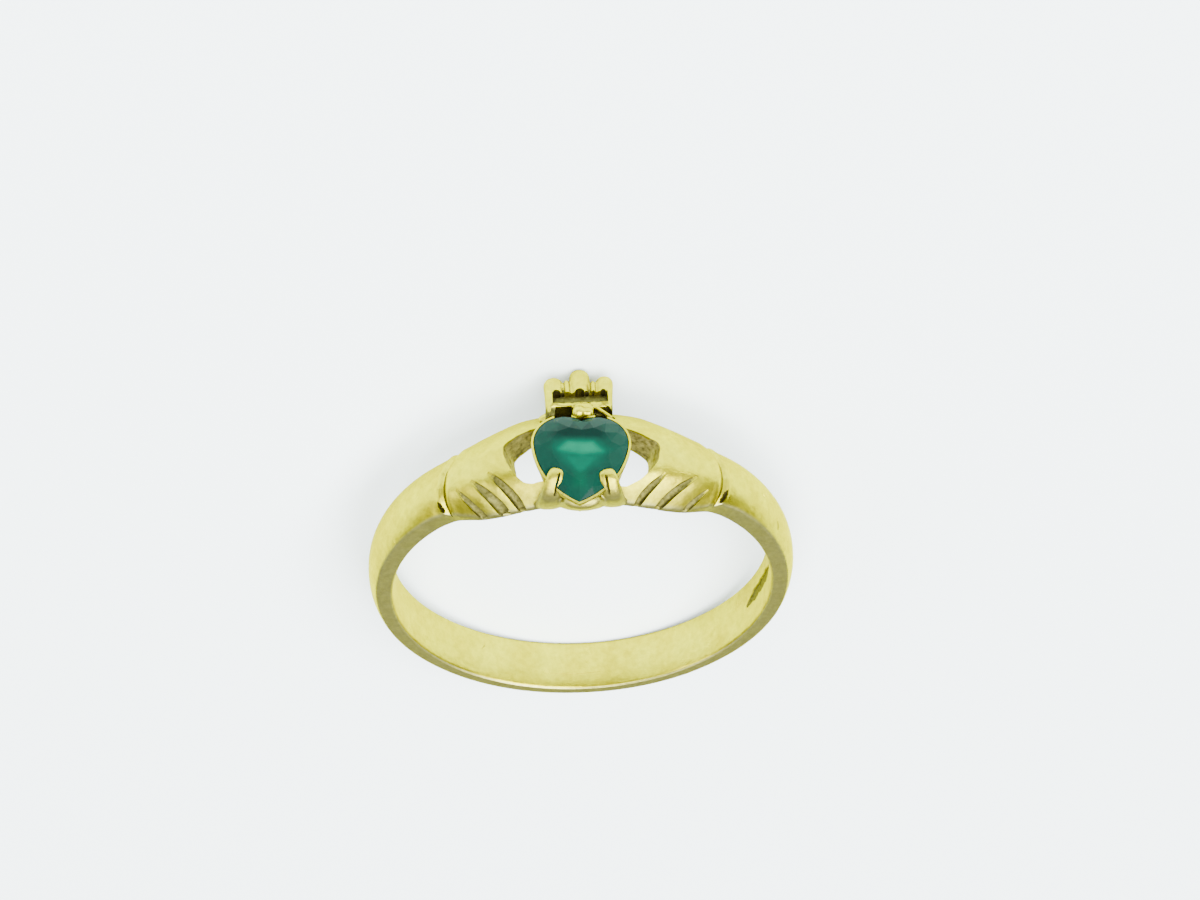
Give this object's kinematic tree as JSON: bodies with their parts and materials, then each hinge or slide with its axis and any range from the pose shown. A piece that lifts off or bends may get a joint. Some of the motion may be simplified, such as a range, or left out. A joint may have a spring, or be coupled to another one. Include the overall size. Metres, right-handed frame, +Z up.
{
  "type": "claddagh ring",
  "caption": "Gold finger ring whose two cuffed hands hold a crowned, heart-shaped green stone in a clawed setting on a domed band.",
  "frame": {"origin": "middle of the bounding box's bottom face: the ring lies on its side on the floor plane", "axes": "+Z up, -Y towards the head with the heart and crown, +X across the head; the heart's tip side is up and the crown side is down"},
  "size_m": [0.0192, 0.0202, 0.0076],
  "materials": {
    "gold": "satin",
    "heart_stone": "polished"
  },
  "bodies": {
    "root": {"ring_body": "gold", "heart_stone": "heart_stone"}
  },
  "joints": []
}
